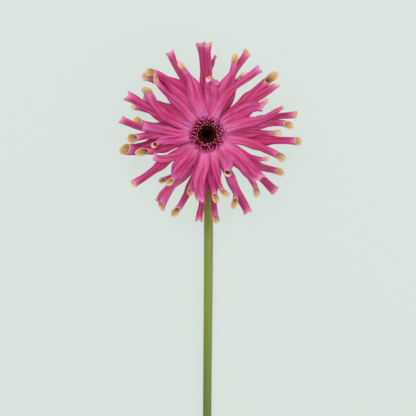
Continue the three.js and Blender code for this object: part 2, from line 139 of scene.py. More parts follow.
# The disc's rings: dark buds in the middle, open florets round them, and the strap-lobed florets
# at its rim. Each has a radius, and a bed that stands so far over the disc's bottom.
BUD_RADIUS = 4.9
BUD_BED = 1.7
OPEN_RADIUS = 6.9
OPEN_BED = 1.5
TRANS_RADIUS = 9.4
TRANS_BED = 1.1

# Long styles that lie out over the ray florets: their angles and how far they reach
STRANDS = ((152, 15.0), (97, 12.6))

# The rows of bracts from the lowest: radius and height of their feet, their size and their lean
BRACT_ROWS = (
    {"foot": (2.9, 0.4), "length": 6.0, "width": 2.5, "lean": 66},
    {"foot": (4.3, 1.5), "length": 7.0, "width": 2.7, "lean": 56},
    {"foot": (6.0, 3.1), "length": 7.6, "width": 2.8, "lean": 47},
)

GOLDEN_ANGLE = math.degrees(math.pi * (3 - math.sqrt(5)))

# The radius that stands for none on a turned profile, and the angle past which an edge is sharp
POINT_RADIUS = 0.01
SHARP_ANGLE = math.radians(55)


def oblique(across, angle, mouth):
    """A tube cut slantwise, so that its mouth faces up."""
    return mouth * (1 + np.cos(angle)) / 2


def straight(across, angle, mouth):
    """A tube cut nearly square."""
    return SQUARE_CUT * oblique(across, angle, mouth)


def notched(across, angle, mouth):
    """An end with a notch in its middle and two points."""
    side = np.abs(across)
    notch = NOTCH_DEPTH * (1 - side / NOTCH_HALF_WIDTH)
    points = NOTCH_SIDES * (side - NOTCH_HALF_WIDTH)
    return mouth * np.where(side < NOTCH_HALF_WIDTH, notch, points)


def torn(across, angle, mouth):
    """A flat end with an uneven edge, longer on one side, and on the other if mouth is below 0."""
    slant = TORN_SLANT * (0.6 - np.sign(mouth) * across) / 1.6
    return abs(mouth) * (slant + TORN_FRAY * np.sin(11 * across + mouth) + TORN_CUT)


# How each kind of end leaves the tube: its arc, its width as a share of the tube's skin, how far
# its bend keeps to its edges, its cut, how much of the rolling it has and where the end starts
ENDS = {
    "spoon": dict(arc=TUBE_ARC, wide=1.05, bend=1.0, cut=oblique, rolls=1.0, starts=0.84),
    "pointed": dict(arc=TUBE_ARC, wide=0.5, bend=1.0, cut=oblique, rolls=1.0, starts=0.84),
    "square": dict(arc=2.9, wide=0.95, bend=1.1, cut=straight, rolls=1.0, starts=0.84),
    "forked": dict(arc=2.4, wide=0.76, bend=1.4, cut=notched, rolls=0.9, starts=0.78),
    "blunt": dict(arc=2.0, wide=0.6, bend=1.3, cut=torn, rolls=0.55, starts=0.66),
}

# The tip of a floret that droops to the surface
RESTING_TIP = {"height": 4, "pitch": -30, "mouth": 8}


def ray(root, tip, heading, whorl, end, **own):
    """One ray floret: root is its angle at the disc, tip and heading where its tip is and points.

    Its own values are the widths of its tube and of its flat body, the length of its slanting
    mouth, turn for how far the mouth faces sideways, roll for where along it the rolling starts,
    flare for how much the end widens, gilt for how golden it is inside and deep for how much
    painted shade darkens it there, the height and pitch of its tip, start for the root's distance
    from the axis, and rests for a tip that lies on the surface.
    """
    usual = {"tube": 4.2, "mouth": 5, "turn": 0, "body": 8, "roll": 0.4}
    usual.update(flare=1, gilt=1, deep=0, start=ROOT_RADIUS, rests=False)
    if own.get("rests"):
        usual.update(RESTING_TIP)
    given = {"root": root, "tip": tip, "heading": heading, "whorl": whorl, "end": end}
    return {**usual, **given, **own}


RAYS = (
    ray(88, (0.7, 56.2), 88, MIDDLE, "spoon", tube=3.9, mouth=3.6, turn=35, roll=0.3),
    ray(90, (5.3, 48.2), 58, OUTER, "pointed", tube=2.6, mouth=1.5, body=4.2, height=19, roll=0.3),
    ray(84, (2.4, 32.6), 96, INNER, "blunt", tube=6.6, mouth=0.6, roll=0.68, body=10.5, height=28),
    ray(71, (17.2, 49), 82, MIDDLE, "spoon", tube=3.6, mouth=7, body=10.5, roll=0.5),
    ray(66, (25.8, 51.8), 52, OUTER, "spoon", tube=4.2, mouth=5, turn=-18, flare=1.2, height=20,
        gilt=0.9, deep=0.15),
    ray(56, (25, 38.6), 38, OUTER, "spoon", tube=3, mouth=8, body=6, height=24, gilt=0),
    ray(69, (31.8, 39.4), 32, INNER, "forked", tube=3.4, mouth=2, body=5.5, flare=1.05, roll=0.32),
    ray(43, (42.9, 38.4), 45, MIDDLE, "spoon", tube=5.2, mouth=11, body=6.6, roll=0.36),
    ray(38, (43.4, 29.7), 22, OUTER, "pointed", tube=4.8, mouth=4, turn=30, height=22, gilt=0.5),
    ray(30, (37.6, 23.4), 44, OUTER, "spoon", tube=2.8, rests=True, mouth=7, gilt=0.2),
    ray(36, (34.9, 16.2), -6, INNER, "blunt", tube=4.5, body=9),
    ray(16.4, (45.5, 16.6), 34, INNER, "pointed", tube=3.6, mouth=1.5, body=6.3, height=28),
    ray(12, (55.5, 12.5), 4, OUTER, "spoon", tube=4, mouth=4.4, turn=-20, body=6.5, height=21),
    ray(9, (52.4, 4.4), -22, MIDDLE, "spoon", tube=4.1, mouth=6.8, body=5.4),
    ray(3, (45.3, 0.9), -3, MIDDLE, "spoon", tube=3.3, mouth=6.5, height=24, gilt=0.4),
    ray(-3.6, (58.1, -3.6), 4, OUTER, "spoon", tube=4.7, mouth=6.4, height=20),
    ray(-12.5, (47, -15.8), -39, MIDDLE, "spoon", tube=4.3, mouth=7.4, body=5.4, roll=0.36),
    ray(-31, (37.5, -14.5), 2, INNER, "spoon", tube=2.5, mouth=3.8, body=5, height=26, gilt=0.6),
    ray(-32, (48.2, -22.8), -7, OUTER, "spoon", tube=4.3, mouth=8.6, rests=True),
    ray(-35, (32.3, -27.8), -45, INNER, "blunt", tube=6.5, body=10, height=31.5),
    ray(-40.5, (41.3, -34), -42, OUTER, "square", tube=4.8, mouth=2, height=18),
    ray(-44, (29.9, -37.7), -84, MIDDLE, "spoon", tube=3.5, mouth=6, body=9, roll=0.26),
    ray(-55, (11.7, -24.8), -112, INNER, "spoon", tube=4.2, mouth=2.6, pitch=14, height=33,
        gilt=0.2, roll=0.6, deep=1),
    ray(-58.5, (15.1, -45.1), -107, MIDDLE, "spoon", tube=3.4, mouth=7.4, body=4.7),
    ray(-64, (24.6, -46.7), -65, OUTER, "forked", tube=4.5, mouth=2.4, body=5.2, flare=0.8,
        height=16),
    ray(-70, (13.3, -37), -30, INNER, "spoon", tube=3.1, mouth=6.4, body=5.6, height=27),
    ray(-81, (5.8, -41.8), -72, MIDDLE, "spoon", tube=3.6, mouth=7, body=7, turn=-15),
    ray(-85, (5.6, -54), -84, OUTER, "spoon", tube=3.7, mouth=6.8, height=16),
    ray(-94, (-5.2, -52.4), -97, OUTER, "forked", tube=3.2, mouth=5, height=16),
    ray(-97, (-3.8, -42.3), -78, INNER, "blunt", mouth=9),
    ray(-107, (-10.7, -37.2), -98, MIDDLE, "spoon", tube=3, mouth=5, body=6),
    ray(-100, (-21.8, -49.8), -124, OUTER, "spoon", tube=4, mouth=8.4, height=17, body=5.2),
    ray(-122, (-29, -45.4), -114, MIDDLE, "spoon", tube=4.8, mouth=5.4, turn=-40, height=21,
        body=9.4, deep=0.2),
    ray(-126, (-30.8, -40), -128, OUTER, "pointed", tube=3.6, mouth=1.5, height=19),
    ray(-131, (-24.5, -30.6), -134, INNER, "spoon", tube=3.3, mouth=5.4, roll=0.6, body=10.4),
    ray(-136, (-31, -27.5), 178, OUTER, "spoon", tube=3.1, mouth=8, rests=True, gilt=0.2, deep=0.7),
    ray(-146, (-45.6, -30.6), -143, MIDDLE, "spoon", tube=4.6, mouth=2.8, height=22, body=5.3,
        gilt=0.2),
    ray(-143, (-33.1, -12.5), 143, INNER, "blunt", tube=3.2, flare=1.15, mouth=-4.5, body=4.4),
    ray(-166, (-44, -11), 184, MIDDLE, "spoon", tube=4.2, mouth=9, body=5.8, height=27, deep=0.25),
    ray(-168, (-54.3, -8.1), 174, OUTER, "spoon", tube=7.2, mouth=9, turn=-18, flare=0.8,
        height=18, body=7.8, deep=0.2),
    ray(-172, (-32.8, -7), 212, INNER, "spoon", tube=3, mouth=2.4, pitch=30, roll=0.6, body=6,
        gilt=0.3, deep=1),
    ray(180, (-48.7, -3.8), 203, MIDDLE, "spoon", tube=4.7, mouth=7.6, flare=1.35, body=6,
        deep=0.2),
    ray(176, (-38.6, 5.1), 163, INNER, "spoon", tube=4, mouth=0.8, body=4.3, flare=1.3, gilt=0),
    ray(169.5, (-52.7, 9.8), 147, MIDDLE, "square", tube=4, mouth=4, height=22, body=6.8),
    ray(170, (-45.3, 10.3), 152, OUTER, "spoon", tube=4.2, mouth=7.4, height=20, body=4.4),
    ray(158, (-47.5, 18.5), 162, OUTER, "spoon", tube=3, mouth=6, rests=True, gilt=0.4),
    ray(160, (-49, 23.8), 153, MIDDLE, "forked", tube=4.4, mouth=4.5, height=23),
    ray(148, (-39.2, 21.9), 160, MIDDLE, "square", tube=5, mouth=3, height=25),
    ray(160, (-37.4, 29.1), 108, INNER, "spoon", tube=5.1, mouth=6, turn=-20, height=27, body=5,
        deep=0.15),
    ray(134, (-33.1, 35.7), 127, INNER, "spoon", tube=3.4, mouth=6.5, turn=50, body=5.8),
    ray(138, (-40.7, 35.8), 174, OUTER, "spoon", tube=4.8, mouth=8, body=6, height=21, gilt=0.6,
        deep=0.2),
    ray(112.6, (-37.6, 38.2), 166, MIDDLE, "spoon", tube=4.4, mouth=6, body=10.9, roll=0.48,
        deep=0.1),
    ray(110, (-22.8, 49.9), 116, MIDDLE, "forked", tube=3.3, mouth=2, flare=1.1, body=7.6),
    ray(105, (-17.7, 43.5), 129, INNER, "spoon", tube=2.5, mouth=7, body=9, roll=0.52, gilt=0.6,
        height=31.4),
    ray(92, (-4, 55.5), 98, OUTER, "forked", tube=3.4, mouth=2.5, body=6.4, flare=1.3, height=22),
    ray(81.6, (-1.2, 32.7), 184, INNER, "spoon", start=30.6, tube=3, mouth=4, body=4, roll=0,
        height=33.8, gilt=0, pitch=0),
)


def tint(red, green, blue):
    """A colour picked on a screen, 0 to 255, as the linear colour that shaders take."""
    levels = [channel / 255 for channel in (red, green, blue)]
    linear = [v / 12.92 if v <= 0.04045 else ((v + 0.055) / 1.055) ** 2.4 for v in levels]
    return (*linear, 1.0)


def smooth(value, low, high):
    """0 below low and 1 above high, with an easy slope between."""
    share = np.clip((value - low) / (high - low), 0, 1)
    return share * share * (3 - 2 * share)


def mix(first, second, share):
    """The first at share 0, the second at 1, and what lies between."""
    return first + (second - first) * share


def direction(heading, pitch):
    """The unit vector at that angle in plan and above the horizon, in degrees."""
    turn, tilt = math.radians(heading), math.radians(pitch)
    flat = math.cos(tilt)
    return np.array([math.cos(turn) * flat, math.sin(turn) * flat, math.sin(tilt)])


def spot(angle, radius, height):
    """The point at an angle round the bloom's axis, a distance from it and a height."""
    return direction(angle, 0) * radius + [0, 0, height]


def draws(seed):
    """Random draws that are the same each run."""
    return np.random.default_rng(seed)


class Skin:
    """The points and faces of one piece, with the marks on its points that its material reads."""

    def __init__(self, *marks):
        self.points = []
        self.faces = []
        self.marks = {name: [] for name in marks}

    def add(self, points, faces, **marks):
        """Adds points and faces. A mark is a number for each point or one for all, or else 0."""
        start = len(self.points)
        points = np.asarray(points).reshape(-1, 3)
        self.points.extend(points.tolist())
        self.faces.extend([tuple(corner + start for corner in face) for face in faces])
        for name, values in self.marks.items():
            given = np.broadcast_to(np.asarray(marks.get(name, 0.0), float).ravel(), (len(points),))
            values.extend(given.tolist())

    def grow(self, part, foot, tip, seed):
        """Adds a small part, such as a lobe or a tube, whose share runs from foot to tip."""
        points, faces, shares = part
        self.add(points, faces, share=mix(foot, tip, shares), seed=seed)

    def piece(self, name, material, slot, *nodes):
        """Makes the object, in the row frame, and hides the parts of the frame that it stands for.
        """
        mesh = bpy.data.meshes.new(name)
        shift = np.array([AXIS[0], AXIS[1], 0.0])
        mesh.from_pydata((np.array(self.points) * MM + shift).tolist(), [], self.faces)
        for mark, values in self.marks.items():
            mesh.attributes.new(mark, "FLOAT", "POINT").data.foreach_set("value", values)
        mesh.shade_smooth()
        mesh.set_sharp_from_angle(angle=SHARP_ANGLE)
        mesh.materials.append(material)
        made = bpy.data.objects.new(name, mesh)
        bpy.context.collection.objects.link(made)
        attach(made, "root")
        if nodes:
            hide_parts(*nodes)
        return made


def shell(outer, inner):
    """Points and faces of a closed sheet between two grids of points, outer on its face."""
    rows, columns = outer.shape[:2]
    front = np.arange(rows * columns).reshape(rows, columns)
    back = front + rows * columns

    def quads(a, b, c, d):
        return np.stack([part.ravel() for part in (a, b, c, d)], axis=1).tolist()

    faces = quads(front[:-1, :-1], front[1:, :-1], front[1:, 1:], front[:-1, 1:])
    faces += quads(back[:-1, :-1], back[:-1, 1:], back[1:, 1:], back[1:, :-1])
    faces += quads(front[:-1, 0], back[:-1, 0], back[1:, 0], front[1:, 0])
    faces += quads(front[:-1, -1], front[1:, -1], back[1:, -1], back[:-1, -1])
    faces += quads(front[0, :-1], front[0, 1:], back[0, 1:], back[0, :-1])
    faces += quads(front[-1, :-1], back[-1, :-1], back[-1, 1:], front[-1, 1:])
    return np.concatenate([outer.reshape(-1, 3), inner.reshape(-1, 3)]), faces


def loft(rings):
    """Points and faces of a closed skin over rings, each anticlockwise as seen from the last."""
    rings = np.asarray(rings)
    count, sides = rings.shape[:2]
    index = np.arange(count * sides).reshape(count, sides)
    after = np.roll(index, -1, axis=1)
    faces = np.stack([index[:-1], after[:-1], after[1:], index[1:]], axis=-1)
    faces = faces.reshape(-1, 4).tolist()
    faces.append(index[0, ::-1].tolist())
    faces.append(index[-1].tolist())
    return rings.reshape(-1, 3), faces


def ring_round(centre, across, back, radius, sides):
    """The corners of a ring round a centre, in the plane of two directions."""
    turns = np.arange(sides) * 2 * math.pi / sides
    return centre + radius * (np.outer(np.cos(turns), across) + np.outer(np.sin(turns), back))


def turned(profile, sides):
    """Points and faces of a profile, from the axis out and back to it, turned round the axis."""
    rings = []
    for radius, height in profile:
        centre = np.array([0, 0, height])
        rings.append(ring_round(centre, [1, 0, 0], [0, 1, 0], max(radius, POINT_RADIUS), sides))
    return loft(rings)


def unit(vector):
    """The vector at length 1, or each one of a grid."""
    return vector / np.linalg.norm(vector, axis=-1, keepdims=True)


class Signal:
    """A shader socket that takes part in Python arithmetic."""

    def __init__(self, sketch, socket):
        self.sketch = sketch
        self.socket = socket

    def maths(self, operation, first, second):
        """The signal of a Math node on two signals or numbers."""
        return self.sketch.node("ShaderNodeMath", {"operation": operation}, {0: first, 1: second})

    def __add__(self, other):
        return self.maths("ADD", self, other)

    def __radd__(self, other):
        return self.maths("ADD", other, self)

    def __sub__(self, other):
        return self.maths("SUBTRACT", self, other)

    def __rsub__(self, other):
        return self.maths("SUBTRACT", other, self)

    def __mul__(self, other):
        return self.maths("MULTIPLY", self, other)

    def __rmul__(self, other):
        return self.maths("MULTIPLY", other, self)


class Sketch:
    """The shader of one finish, drawn node by node."""

    def __init__(self, name):
        self.material = bpy.data.materials.new(name)
        self.material.use_nodes = True
        self.tree = self.material.node_tree
        self.tree.nodes.clear()

    def node(self, kind, settings=None, values=None, output=0):
        """Adds a node with its settings and the values or links of its sockets."""
        made = self.tree.nodes.new(kind)
        for name, value in (settings or {}).items():
            setattr(made, name, value)
        for name, value in (values or {}).items():
            if isinstance(value, Signal):
                self.tree.links.new(value.socket, made.inputs[name])
            else:
                made.inputs[name].default_value = value
        return Signal(self, made.outputs[output]) if made.outputs else None

    def mark(self, name):
        """A number that the mesh carries on its points."""
        return self.node("ShaderNodeAttribute", {"attribute_name": name}, output=2)

    def between(self, signal, low, high):
        """0 at low and 1 at high, eased, whichever is larger."""
        span = {"interpolation_type": "SMOOTHSTEP"}
        ends = {0: signal, 1: low, 2: high, 3: 0.0, 4: 1.0}
        if low > high:
            ends.update({1: high, 2: low, 3: 1.0, 4: 0.0})
        return self.node("ShaderNodeMapRange", span, ends)

    def blend(self, share, first, second):
        """The first colour at share 0 and the second at 1."""
        kinds = {"data_type": "RGBA"}
        return self.node("ShaderNodeMix", kinds, {0: share, 6: first, 7: second}, output=2)

    def layers(self, colour, *layers):
        """A colour under layers of others, each of which covers it by a share."""
        for share, above in layers:
            colour = self.blend(share, colour, above)
        return colour

    def point(self, x, y, z):
        """A place to read a noise at."""
        return self.node("ShaderNodeCombineXYZ", {}, {0: x, 1: y, 2: z})

    def place(self):
        """The place on the object itself, in metres."""
        return self.node("ShaderNodeTexCoord", {}, output=3)

    def noise(self, point, scale, detail):
        """A number that wanders about a half."""
        values = {"Vector": point, "Scale": scale, "Detail": detail}
        return self.node("ShaderNodeTexNoise", {}, values)

    def bump(self, height, strength, distance):
        """A normal that follows a height."""
        values = {"Strength": strength, "Distance": distance, "Height": height}
        return self.node("ShaderNodeBump", {}, values)

    def finish(self, **sockets):
        """Ends the sketch in a Principled shader, whose sockets are named with _ for a space."""
        named = {name.replace("_", " "): value for name, value in sockets.items()}
        surface = self.node("ShaderNodeBsdfPrincipled", {}, named)
        self.node("ShaderNodeOutputMaterial", {}, {"Surface": surface})
        return self.material


def gauss_shares():
    """Places from 0 to 1 and their weights, for summing along a curve."""
    places, weights = np.polynomial.legendre.leggauss(SUMMING_PLACES)
    return (places + 1) / 2, weights / 2


def strap_profile(strip, arc, bend, across):
    """Sideways, height and slope of a bent strap at across, from -1 to 1, seen along its length."""
    places, weights = gauss_shares()
    along = np.abs(across)[..., None] * places
    angle = arc[..., None] * along ** bend[..., None]
    reach = np.abs(across) * strip / 2
    sideways = np.sign(across) * reach * (np.cos(angle) @ weights)
    height = -reach * (np.sin(angle) @ weights)
    slope = np.sign(across) * arc * np.abs(across) ** bend
    return sideways, height, slope


def shown_width(arc, bend):
    """How wide a bent strap looks from its face, as a share of its flat width."""
    widest = min(1.0, (math.pi / 2 / arc) ** (1 / bend))
    places, weights = gauss_shares()
    return widest * float(np.cos(arc * (widest * places) ** bend) @ weights)


def bezier(corners, time):
    """Places and directions on the curve over four corners."""
    a, b, c, d = corners
    t = time[..., None]
    place = (1 - t) ** 3 * a + 3 * (1 - t) ** 2 * t * b + 3 * (1 - t) * t**2 * c + t**3 * d
    slope = 3 * (1 - t) ** 2 * (b - a) + 6 * (1 - t) * t * (c - b) + 3 * t**2 * (d - c)
    return place, unit(slope)


class RayFloret:
    """The sheet of one ray floret, with its face up and its seam on its underside."""

    def __init__(self, given, number, step):
        whorl = WHORLS[given["whorl"]]
        self.given = given
        self.end = ENDS[given["end"]]
        self.seed = number * SEED_STEP % 1
        self.phase = self.seed * 2 * math.pi
        self.radius = given["tube"] / 2
        height = given.get("height", whorl["tip_height"] + step) - self.radius
        root_height = COLLAR_BOTTOM + whorl["front"] + step - self.radius
        if given["start"] > ROOT_RADIUS:
            root_height = height - FOLD_ROOT_DROP
        self.root = spot(given["root"], given["start"], root_height)
        self.tip = np.array([*given["tip"], height])
        self.rise = whorl["rise"]
        self.pitch = given.get("pitch", whorl["tip_pitch"])
        self.fit = shown_width(BODY_ARC, BODY_EDGE_BEND)

    def course(self, lift):
        """The corners of the curve that the floret follows from its root to its tip."""
        handle = BEZIER_HANDLE * math.dist(self.root, self.tip)
        up = np.array([0, 0, lift])
        tip = self.tip + up
        after_root = self.root + direction(self.given["root"], self.rise) * handle + up
        before_tip = tip - direction(self.given["heading"], self.pitch) * handle
        return self.root, after_root, before_tip, tip

    def surface(self, rows, columns, thickness, lift):
        """Face and back as grids of points, with the share of the length and the way to the end."""
        given, end = self.given, self.end
        corners = self.course(lift)
        times = np.linspace(0, 1, CURVE_STEPS)
        line = bezier(corners, times)[0]
        lengths = np.concatenate([[0], np.cumsum(np.linalg.norm(np.diff(line, axis=0), axis=1))])
        length = lengths[-1]
        across = np.broadcast_to(np.linspace(-1, 1, columns), (rows, columns))
        cut = end["cut"](across, across * end["arc"], given["mouth"]) / length
        plain = np.broadcast_to(np.linspace(0, 1, rows)[:, None], (rows, columns))
        share = np.clip(plain - cut * plain**4, 0, 1)

        place, forward = bezier(corners, np.interp(share, lengths / length, times))
        side = unit(np.cross([0, 0, 1], forward))
        face = np.cross(forward, side)
        sway = np.sin(share * 8 + self.phase) * smooth(share, 0.1, 0.4) * smooth(share, 1, 0.8)
        place = place + side * (SWAY * sway)[..., None]

        rolled = smooth(share, given["roll"], given["roll"] + ROLLING_LASTS) * end["rolls"]
        ending = smooth(share, end["starts"], 1)
        arc = mix(ROOT_ARC, BODY_ARC, smooth(share, 0, WIDEST_AT))
        arc = mix(mix(arc, TUBE_ARC, rolled), end["arc"], ending)
        bend = mix(mix(BODY_EDGE_BEND, 1.0, rolled), end["bend"], ending)
        flat = mix(ROOT_WIDTH, given["body"], smooth(share, 0, WIDEST_AT)) / self.fit
        swollen = 1 + SWELLING * np.sin(share * 12 + self.phase) * smooth(share, 0.95, 0.8)
        round_tube = given["tube"] * TUBE_ARC * swollen
        widened = round_tube * end["wide"] * given["flare"]
        strip = mix(mix(flat, round_tube, rolled), widened, ending)
        sideways, height, slope = strap_profile(strip, arc, bend, across)

        to_end = (share[-1:] - share) * length
        lip = smooth(to_end, LIP_LENGTH, 0) * LIP_HEIGHT
        tuck = smooth(across, 0.8, 0.95) * TUCK_DEPTH * smooth(arc, 2.7, TUBE_ARC)
        ribs = self.ribs(share, across) * (1 - FOLDS_LOST * rolled) + lip - tuck
        turn = math.radians(given["turn"]) * smooth(share, 0.5, 1)

        def laid(depth):
            """The grid that lies so deep under the face."""
            out = ribs - depth
            x = sideways + np.sin(slope) * out
            z = self.radius + height + np.cos(slope) * out
            x, z = x * np.cos(turn) + z * np.sin(turn), z * np.cos(turn) - x * np.sin(turn)
            return place + side * x[..., None] + face * z[..., None]

        outer, inner = laid(0.0), laid(thickness)
        if given["rests"]:
            lowest = min(outer[..., 2].min(), inner[..., 2].min())
            stretch = self.root[2] / (self.root[2] - lowest)
            for grid in (outer, inner):
                grid[..., 2] = self.root[2] + (grid[..., 2] - self.root[2]) * stretch
        return outer, inner, share, across, to_end

    def crease(self, share, across):
        """1 along the crease, which wanders a little about the floret's middle, and 0 beside it."""
        middle = 0.2 * math.sin(self.phase) + 0.1 * np.sin(share * 5 + self.phase)
        return np.exp(-(((across - middle) / CREASE_WIDTH) ** 2))

    def ribs(self, share, across):
        """The soft lengthwise folds of the strap, in millimetres off its surface."""
        folds = FOLD_DEPTH * np.cos(across * 9 + self.phase + share * 2) * (1 - across**2)
        waves = WAVE_DEPTH * np.sin(share * 11 + self.phase) * across
        relief = folds + waves - CREASE_DEPTH * self.crease(share, across)
        return relief * smooth(share, 0.03, 0.2)

    def coarse(self, lift):
        """The floret as a tree to test against others."""
        outer, inner = self.surface(rows=9, columns=9, thickness=0.4, lift=lift)[:2]
        points, faces = shell(outer, inner)
        return BVHTree.FromPolygons(points.tolist(), faces)


def lay_florets():
    """The florets from the back whorl forward, each with the lift that clears those under it."""
    laid = []
    for whorl in (OUTER, MIDDLE, INNER):
        own = [(number, r) for number, r in enumerate(RAYS) if r["whorl"] == whorl]
        for place, (number, given) in enumerate(own):
            floret = RayFloret(given, number, NEIGHBOUR_STEP * (place % 2))
            best = None
            for lift in LIFTS:
                tree = floret.coarse(lift)
                crossed = sum(len(tree.overlap(under)) for *_, under in laid)
                if best is None or crossed < WORTH_A_LIFT * best[0]:
                    best = (crossed, lift, tree)
                if crossed == 0:
                    break
            laid.append((floret, best[1], best[2]))
    return [(floret, lift) for floret, lift, _ in laid]


def petal_finish(colours):
    """Pink satin with lengthwise streaks, gold inside its tube, pale along its rim; painted shade,
    sheen, glow.
    """
    sketch = Sketch("ray_petal")
    between = sketch.between
    share, across, inside, to_end, seed, mouth, gilt, dark, under, crease = (
        sketch.mark(name) for name in PETAL_MARKS
    )
    edge = across * across
    streaks = sketch.noise(sketch.point(across * 3.6 + seed * 60, share * 1.3, seed * 23), 2.2, 4.0)
    veins = sketch.noise(sketch.point(across * 9 + seed * 90, share * 1.1, seed * 7), 2.0, 2.0)
    blotches = sketch.noise(sketch.place(), 60.0, 3.0)
    near = between(share, 0.26, 0.04)
    cool = between(blotches, 0.4, 0.62) * between(share, 0.2, 0.5)
    deep = between(veins, 0.46, 0.36) * between(share, 0.05, 0.3)
    rim = sketch.blend(between(seed, 0.3, 0.7), colours.rim, colours.light_streak_and_sheen)

    pink = sketch.layers(
        colours.throat,
        (between(share, 0.1, 0.42), colours.pink),
        (between(share, 0.42, 0.8) * 0.8, colours.tube),
        (between(seed, 0.6, 1.0) * 0.35, colours.light_streak_and_sheen),
        (between(seed, 0.4, 0.0) * 0.3, colours.dark_streak_and_shade),
        (cool * 0.6, colours.mauve),
        (between(blotches, 0.46, 0.3) * 0.55, colours.crimson),
        # The lengthwise streaks are partly the petals' own veining and partly painted highlight and
        # shade on their ridges and folds
        (between(streaks, 0.5, 0.68) * 0.6, colours.light_streak_and_sheen),
        (between(streaks, 0.49, 0.3) * 0.85, colours.dark_streak_and_shade),
        # Painted shade: the face darkens towards its edges, where the rolled tube turns from the
        # light
        (between(edge, 0.12, 0.5) * 0.6, colours.side),
        # Painted shade over the back whorls, which lie under the others
        (under * 0.28, colours.dark_streak_and_shade),
        # Painted shade: a dark line down the crease, where the groove lies in shade
        (crease * between(share, 0.15, 0.5) * 0.75, colours.dark_streak_and_shade),
        (between(veins, 0.48, 0.62) * near * 0.55, colours.mauve_line),
        (deep * 0.2, colours.dark_streak_and_shade),
        (between(edge, 0.5, 0.75) * deep, colours.back),
        (between(edge, 0.55, 0.8) * near * 0.7, colours.mauve_line),
        (between(blotches, 0.5, 0.72) * 0.3, colours.light_streak_and_sheen),
        # A painted sheen, paler towards the end
        (between(to_end, 6.0, 0.5) * 0.35, colours.light_streak_and_sheen),
        (between(to_end, 3.4, 0.2) * (0.55 - mouth * 0.35), colours.pale_end),
        (between(to_end, 0.7, 0.2) * mouth * 0.6, rim),
    )
    gold = sketch.layers(
        sketch.blend(gilt, colours.cream, colours.gold),
        (between(to_end, 2.4, 0.4) * 0.35, colours.rim),
        # Painted shade inside the tube: darker further from the mouth, and darker still where the
        # floret is marked deep
        (between(to_end, 2.0, 9.0), colours.hollow),
        (between(to_end, 0.8, 1.8) * dark, colours.hollow_shadow),
        (between(veins, 0.5, 0.65) * 0.2, colours.rim),
        (between(to_end, 0.6, 0.1) * 0.5, rim),
        (between(share, 0.55, 0.4), colours.back),
    )
    colour = sketch.blend(between(inside, 0.3, 0.7), pink, gold)
    return sketch.finish(
        Base_Color=colour,
        Roughness=0.5 + streaks * 0.2,
        Normal=sketch.bump(streaks * 0.7 + veins * 0.5, 0.4, 0.0004),
        Sheen_Weight=0.04,
        Specular_IOR_Level=0.25,
        # A painted glow in the petals' own colour, which lifts the shade between the florets
        Emission_Color=colour,
        Emission_Strength=colours.through,
    )


def lobe(foot, along, face, length, width, thickness, curl, point=0.25, rows=7, columns=5):
    """A small strap from foot, with its face to face, that curls back by curl degrees."""
    along = unit(np.asarray(along, float))
    side = unit(np.cross(along, face))
    face = np.cross(side, along)
    share = np.linspace(0, 1, rows)
    turn = math.radians(curl) * share**1.3
    step = length / (rows - 1)
    run = np.concatenate([[0], np.cumsum(np.cos(turn[1:]) * step)])
    drop = np.concatenate([[0], np.cumsum(np.sin(turn[1:]) * step)])
    line = foot + run[:, None] * along - drop[:, None] * face
    normal = np.cos(turn)[:, None] * face + np.sin(turn)[:, None] * along
    narrowing = np.clip((share - 0.55) / 0.45, 0, 1) ** 1.6
    shape = width / 2 * np.minimum(1, 0.65 + share) * mix(1, point, narrowing)
    across = np.linspace(-1, 1, columns)
    outer = line[:, None] + shape[:, None, None] * across[None, :, None] * side
    outer = outer - (0.3 * shape[:, None] * across[None, :] ** 2)[..., None] * normal[:, None]
    inner = outer - thickness * normal[:, None]
    points, faces = shell(outer, inner)
    shares = np.concatenate([np.repeat(share, columns)] * 2)
    return points, faces, shares


def tube(line, radii, sides):
    """A closed skin round a line of points."""
    line = np.asarray(line, float)
    forward = unit(np.gradient(line, axis=0))
    helper = [0, 1, 0] if abs(forward[0][1]) < 0.8 else [1, 0, 0]
    rings = []
    for place, ahead, radius in zip(line, forward, radii):
        across = unit(np.cross(helper, ahead))
        rings.append(ring_round(place, across, np.cross(ahead, across), radius, sides))
    points, faces = loft(rings)
    return points, faces, np.repeat(np.linspace(0, 1, len(line)), sides)


def stalk(foot, reach, stations, radii, sides):
    """A tube straight out of foot, with a radius at each station, which is a share of reach."""
    return tube([foot + reach * station for station in stations], radii, sides)


def spread(count, inner, outer):
    """Angles in degrees, radii and shares of florets spread over a ring by the golden angle."""
    for k in range(count):
        share = (k + 0.5) / count
        yield k * GOLDEN_ANGLE % 360, math.sqrt(mix(inner**2, outer**2, share)), share


def leaning(angle, lean):
    """The direction at a lean from upright, away from the axis, and the one square to it."""
    out = direction(angle, 0)
    lean = math.radians(lean)
    up = np.array([0, 0, 1.0])
    return out * math.sin(lean) + up * math.cos(lean), out * math.cos(lean) - up * math.sin(lean)


def floret_finish(name, colours, odd, turns=(0.35, 0.8), rough=0.6, shine=0.08, beyond=None):
    """A small floret's colours from foot to tip, the odd one of some, and the one past the tip."""
    foot, middle, tip = colours
    sketch = Sketch(name)
    share = sketch.mark("share")
    seed = sketch.mark("seed")
    grain = sketch.noise(sketch.place(), 900.0, 2.0)
    strange = sketch.between(seed, 0.4, 0.8) * sketch.between(share, 0.15, 0.6)
    colour = sketch.layers(
        foot,
        (sketch.between(share, 0.0, turns[0]), middle),
        (sketch.between(share, *turns), tip),
        (strange, odd),
        (sketch.between(grain, 0.5, 0.75) * 0.3, foot),
    )
    if beyond is not None:
        colour = sketch.blend(sketch.between(share, 1.0, 1.4), colour, beyond)
    normal = sketch.bump(grain, 0.3, 0.0001)
    return sketch.finish(
        Base_Color=colour, Roughness=rough, Normal=normal, Specular_IOR_Level=shine
    )


